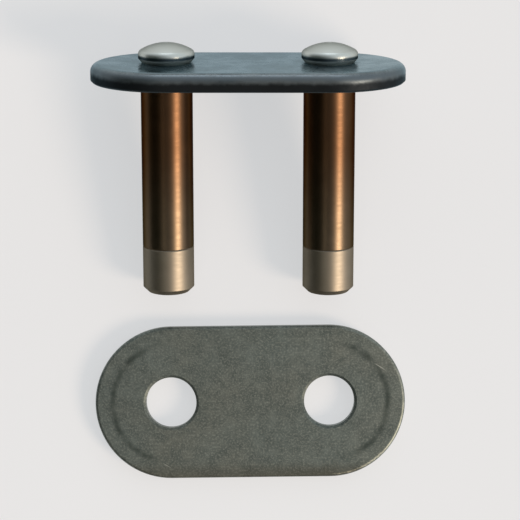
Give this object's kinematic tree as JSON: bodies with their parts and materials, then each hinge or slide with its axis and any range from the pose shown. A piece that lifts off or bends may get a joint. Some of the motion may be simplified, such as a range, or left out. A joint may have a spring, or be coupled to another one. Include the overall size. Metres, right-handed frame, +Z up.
{
  "type": "chain connecting link",
  "caption": "Roller chain connecting link, taken apart: an outer plate with riveted pins lying on its side, and the loose plate that closes the link lying flat.",
  "frame": {"origin": "on the table, below the middle of the bounding box of the whole", "axes": "+Z up; +X from the left pin to the right one; +Y from the loose plate to the rivet heads"},
  "size_m": [0.031, 0.0432, 0.0146],
  "materials": {
    "outer_plate": "tumbled and polished, blue-grey",
    "pin": "ground, dark hardened shank with bare bright end",
    "loose_plate": "satin, shot-peened, grey"
  },
  "bodies": {
    "root": {"outer_plate": "outer_plate", "left_pin": "pin", "right_pin": "pin", "loose_plate": "loose_plate"}
  },
  "joints": []
}
